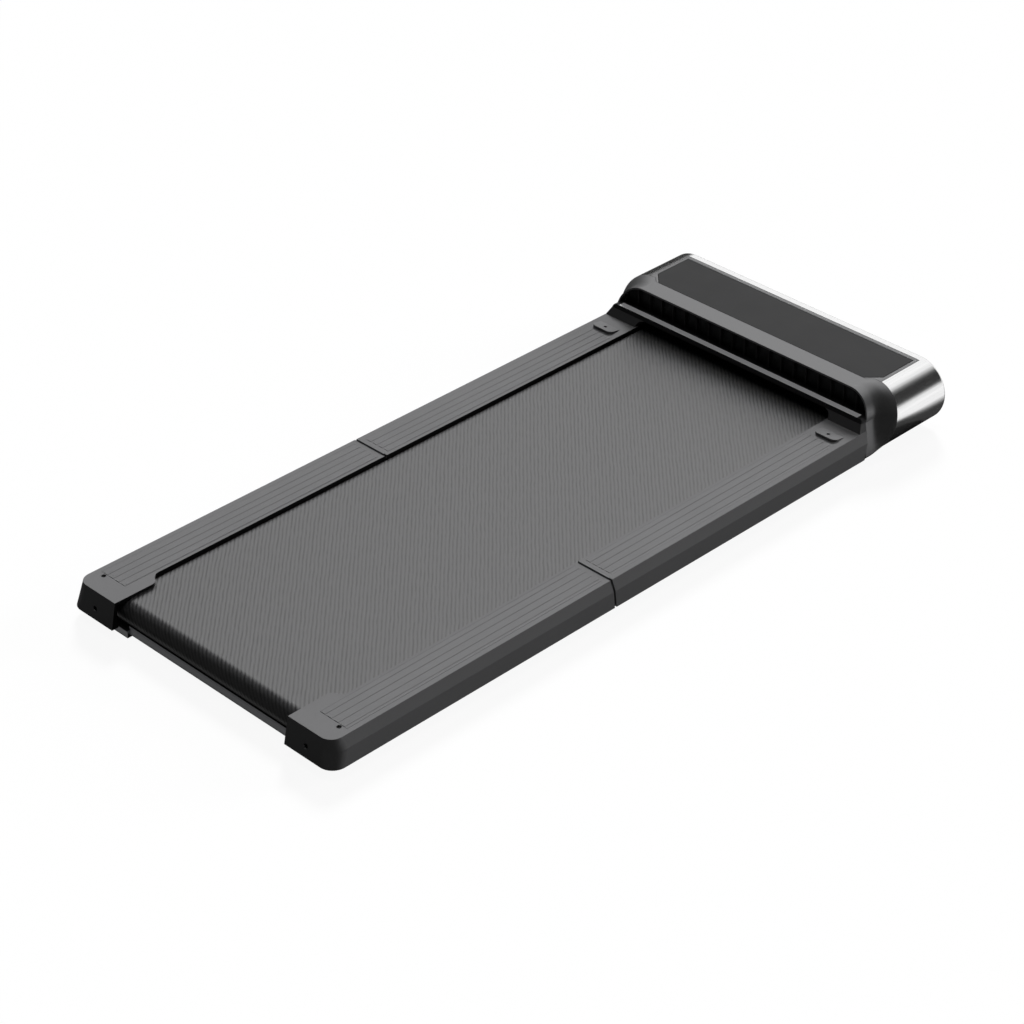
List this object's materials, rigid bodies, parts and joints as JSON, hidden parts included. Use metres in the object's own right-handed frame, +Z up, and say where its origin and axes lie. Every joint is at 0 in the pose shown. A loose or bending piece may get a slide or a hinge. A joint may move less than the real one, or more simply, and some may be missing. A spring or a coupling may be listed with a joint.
{
  "type": "walking pad",
  "caption": "Low folding walking pad: a running belt between ribbed grey side rails, hinged across the middle, with a rounded bright-metal motor hood at the front.",
  "frame": {"origin": "on the floor, under the middle of the part's box", "axes": "+X from the rear roller to the motor hood, +Y to the left when facing the hood, +Z up"},
  "size_m": [1.4286, 0.644, 0.123],
  "materials": {
    "frame_steel": "black powder coat",
    "deck_board": "laminated board",
    "rail_plastic": "fine matte grain",
    "grip_plastic": "ribbed matte",
    "buffer_rubber": "matte",
    "hinge_steel": "zinc plated",
    "hood_metal": "bright brushed",
    "collar_plastic": "fine matte grain",
    "frame_plastic": "fine matte grain",
    "panel_plastic": "dark satin",
    "grille_plastic": "black",
    "roller_steel": "turned",
    "belt_rubber": "fine diagonal grain",
    "drive_rubber": "ribbed",
    "motor_paint": "black paint",
    "rotor_steel": "turned",
    "board_plastic": "green board with heat sink",
    "inlet_plastic": "black",
    "rocker_plastic": "dark red",
    "wheel_rubber": "matte",
    "foot_rubber": "matte",
    "bar_steel": "grey paint"
  },
  "bodies": {
    "front_half": {"front_side_tube_left": "frame_steel", "front_side_tube_right": "frame_steel", "front_cross_tube_1": "frame_steel", "front_cross_tube_2": "frame_steel", "front_deck": "deck_board", "front_rail_cover_left": "rail_plastic", "front_rail_cover_right": "rail_plastic", "front_grip_strip_left": "grip_plastic", "front_grip_strip_right": "grip_plastic", "fold_buffer_left": "buffer_rubber", "fold_buffer_right": "buffer_rubber", "front_hinge_leaf_left": "hinge_steel", "front_hinge_leaf_right": "hinge_steel", "hinge_pin_left": "hinge_steel", "hinge_pin_right": "hinge_steel", "hood_sleeve": "hood_metal", "hood_collar": "collar_plastic", "panel_frame": "frame_plastic", "top_panel": "panel_plastic", "vent_grille": "grille_plastic", "hood_lip": "collar_plastic", "lip_end_left": "collar_plastic", "lip_end_right": "collar_plastic", "motor_housing": "motor_paint", "motor_mount": "frame_steel", "drive_belt": "drive_rubber", "controller_board": "board_plastic", "power_inlet": "inlet_plastic", "front_axle": "roller_steel", "wheel_bracket_left": "frame_steel", "wheel_bracket_right": "frame_steel", "front_foot_left": "foot_rubber", "front_foot_right": "foot_rubber", "middle_foot_left": "foot_rubber", "middle_foot_right": "foot_rubber", "walking_belt": "belt_rubber"},
    "rear_half": {"rear_side_tube_left": "frame_steel", "rear_side_tube_right": "frame_steel", "rear_cross_tube_1": "frame_steel", "rear_cross_tube_2": "frame_steel", "rear_deck": "deck_board", "rear_rail_cover_left": "rail_plastic", "rear_rail_cover_right": "rail_plastic", "rear_grip_strip_left": "grip_plastic", "rear_grip_strip_right": "grip_plastic", "rear_hinge_leaf_left": "hinge_steel", "rear_hinge_leaf_right": "hinge_steel", "rear_cross_bar": "bar_steel", "rear_foot_left": "foot_rubber", "rear_foot_right": "foot_rubber", "rear_axle": "roller_steel", "tension_bolt_left": "hinge_steel", "tension_bolt_right": "hinge_steel"},
    "front_roller": {"front_roller": "roller_steel"},
    "rear_roller": {"rear_roller": "roller_steel"},
    "motor_rotor": {"motor_rotor": "rotor_steel"},
    "transport_wheel_left": {"transport_wheel_left": "wheel_rubber"},
    "transport_wheel_right": {"transport_wheel_right": "wheel_rubber"},
    "power_rocker": {"power_rocker": "rocker_plastic"}
  },
  "joints": [
    {"name": "fold", "type": "hinge", "parent": "front_half", "child": "rear_half", "pos_m": [-0.10955, 0, 0.066], "axis": [0, 1, 0], "range_deg": [0, 179.4], "deforming": ["walking_belt"]},
    {"name": "front_roller_spin", "type": "hinge", "parent": "front_half", "child": "front_roller", "pos_m": [0.5633, 0, 0.0368], "axis": [0, 1, 0], "continuous": true},
    {"name": "rear_roller_spin", "type": "hinge", "parent": "rear_half", "child": "rear_roller", "pos_m": [-0.6707, 0, 0.0368], "axis": [0, 1, 0], "continuous": true},
    {"name": "motor_spin", "type": "hinge", "parent": "front_half", "child": "motor_rotor", "pos_m": [0.6543, 0, 0.05], "axis": [0, 1, 0], "continuous": true},
    {"name": "wheel_left_spin", "type": "hinge", "parent": "front_half", "child": "transport_wheel_left", "pos_m": [0.6958, 0.225, 0.0186], "axis": [0, 1, 0], "continuous": true},
    {"name": "wheel_right_spin", "type": "hinge", "parent": "front_half", "child": "transport_wheel_right", "pos_m": [0.6958, -0.225, 0.0186], "axis": [0, 1, 0], "continuous": true},
    {"name": "rocker_tip", "type": "hinge", "parent": "front_half", "child": "power_rocker", "pos_m": [0.7093, -0.143, 0.048], "axis": [0, -1, 0], "range_deg": [0, 16]}
  ],
  "couplings": [
    {"joint": "rear_roller_spin", "follows": "front_roller_spin", "ratio": 1},
    {"joint": "motor_spin", "follows": "front_roller_spin", "ratio": 2.3636}
  ]
}
